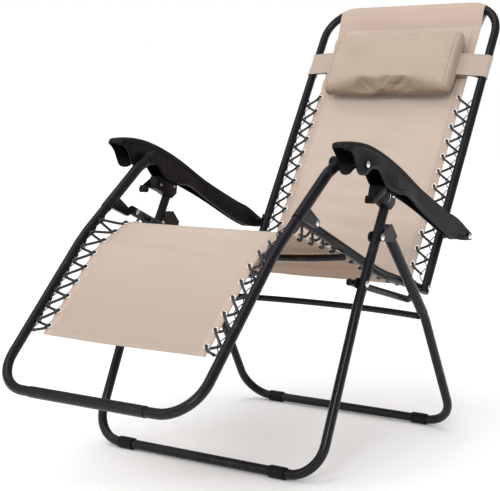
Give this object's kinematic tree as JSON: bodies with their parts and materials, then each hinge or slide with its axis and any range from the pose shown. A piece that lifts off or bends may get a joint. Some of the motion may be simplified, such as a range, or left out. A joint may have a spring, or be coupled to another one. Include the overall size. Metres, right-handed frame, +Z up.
{
  "type": "zero gravity recliner",
  "caption": "Folding reclining lounge chair: bent steel tube frame, laced fabric sling, moulded channel armrests with locks, and a sliding head pillow.",
  "frame": {"origin": "middle of the chair's bounding box, on the floor", "axes": "+X is the sitter's left, -Y is the way the sitter faces, +Z is up"},
  "size_m": [0.6842, 1.3675, 1.0858],
  "materials": {
    "black_paint": "satin",
    "black_plastic": "fine grain",
    "bright_steel": "plated",
    "beige_mesh_cloth": "woven",
    "black_cord": "braided"
  },
  "bodies": {
    "front_leg": {"front_leg_frame": "black_paint", "leg_pivot_pin_left": "bright_steel", "leg_pivot_pin_right": "bright_steel", "seat_pivot_pin_left": "bright_steel", "seat_pivot_pin_right": "bright_steel", "front_foot_cap_left": "black_plastic", "front_foot_cap_right": "black_plastic", "lock_housing_left": "black_plastic", "lock_housing_right": "black_plastic"},
    "lever_left": {"lock_lever_left": "black_plastic"},
    "lever_right": {"lock_lever_right": "black_plastic"},
    "rear_leg": {"rear_leg_frame": "black_paint", "rear_cross_bar": "black_paint", "rear_leg_sleeve_left": "black_paint", "rear_leg_sleeve_right": "black_paint", "rear_bracket_left": "black_paint", "rear_bracket_right": "black_paint", "rear_foot_cap_left": "black_plastic", "rear_foot_cap_right": "black_plastic"},
    "seat": {"seat_rail_left": "black_paint", "seat_rail_right": "black_paint", "seat_brace_left": "black_paint", "seat_brace_right": "black_paint", "seat_cross_bar": "black_paint", "seat_sling": "beige_mesh_cloth", "seat_lacing_left": "black_cord", "seat_lacing_right": "black_cord", "back_pivot_pin_left": "bright_steel", "back_pivot_pin_right": "bright_steel", "knee_pivot_pin_left": "bright_steel", "knee_pivot_pin_right": "bright_steel"},
    "back": {"back_frame": "black_paint", "back_sling": "beige_mesh_cloth", "armrest_bracket_left": "black_paint", "armrest_bracket_right": "black_paint", "armrest_rear_pin_left": "bright_steel", "armrest_rear_pin_right": "bright_steel", "back_hooks_left": "black_paint", "back_hooks_right": "black_paint", "back_lacing_left": "black_cord", "back_lacing_right": "black_cord"},
    "armrests": {"armrest_left": "black_plastic", "armrest_right": "black_plastic", "armrest_front_pin_left": "bright_steel", "armrest_front_pin_right": "bright_steel"},
    "foot": {"foot_frame": "black_paint", "foot_bar_sleeve": "black_paint", "foot_sling": "beige_mesh_cloth", "foot_link_left": "black_paint", "foot_link_right": "black_paint", "knee_bracket_left": "black_paint", "knee_bracket_right": "black_paint", "foot_hooks_left": "black_paint", "foot_hooks_right": "black_paint", "foot_lacing_left": "black_cord", "foot_lacing_right": "black_cord"},
    "pillow": {"pillow": "beige_mesh_cloth", "pillow_strap_left": "beige_mesh_cloth", "pillow_strap_right": "beige_mesh_cloth"}
  },
  "joints": [
    {"name": "rear_leg_fold", "type": "hinge", "parent": "front_leg", "child": "rear_leg", "pos_m": [0, -0.06525, 0.512], "axis": [-1, 0, 0], "range_deg": [0, 53.5]},
    {"name": "tilt", "type": "hinge", "parent": "front_leg", "child": "seat", "pos_m": [0, -0.12225, 0.4134], "axis": [-1, 0, 0], "range_deg": [-16, 8]},
    {"name": "lock_lever_left", "type": "hinge", "parent": "front_leg", "child": "lever_left", "pos_m": [0.3303, -0.06325, 0.616], "axis": [1, 0, 0], "range_deg": [0, 28]},
    {"name": "lock_lever_right", "type": "hinge", "parent": "front_leg", "child": "lever_right", "pos_m": [-0.3303, -0.06325, 0.616], "axis": [1, 0, 0], "range_deg": [0, 28]},
    {"name": "recline", "type": "hinge", "parent": "seat", "child": "back", "pos_m": [0, 0.26525, 0.36], "axis": [-1, 0, 0], "range_deg": [-30, 20]},
    {"name": "foot_recline", "type": "hinge", "parent": "seat", "child": "foot", "pos_m": [0, -0.23965, 0.5518], "axis": [-1, 0, 0], "range_deg": [-30, 20]},
    {"name": "armrest_turn", "type": "hinge", "parent": "back", "child": "armrests", "pos_m": [0, 0.35565, 0.4842], "axis": [1, 0, 0], "range_deg": [-30, 20]},
    {"name": "pillow_height", "type": "slide", "parent": "back", "child": "pillow", "axis": [0, 0.4943, 0.8693], "range_m": [-0.02, 0.05]}
  ],
  "couplings": [
    {"joint": "foot_recline", "follows": "recline", "ratio": 1},
    {"joint": "armrest_turn", "follows": "recline", "ratio": 1}
  ]
}
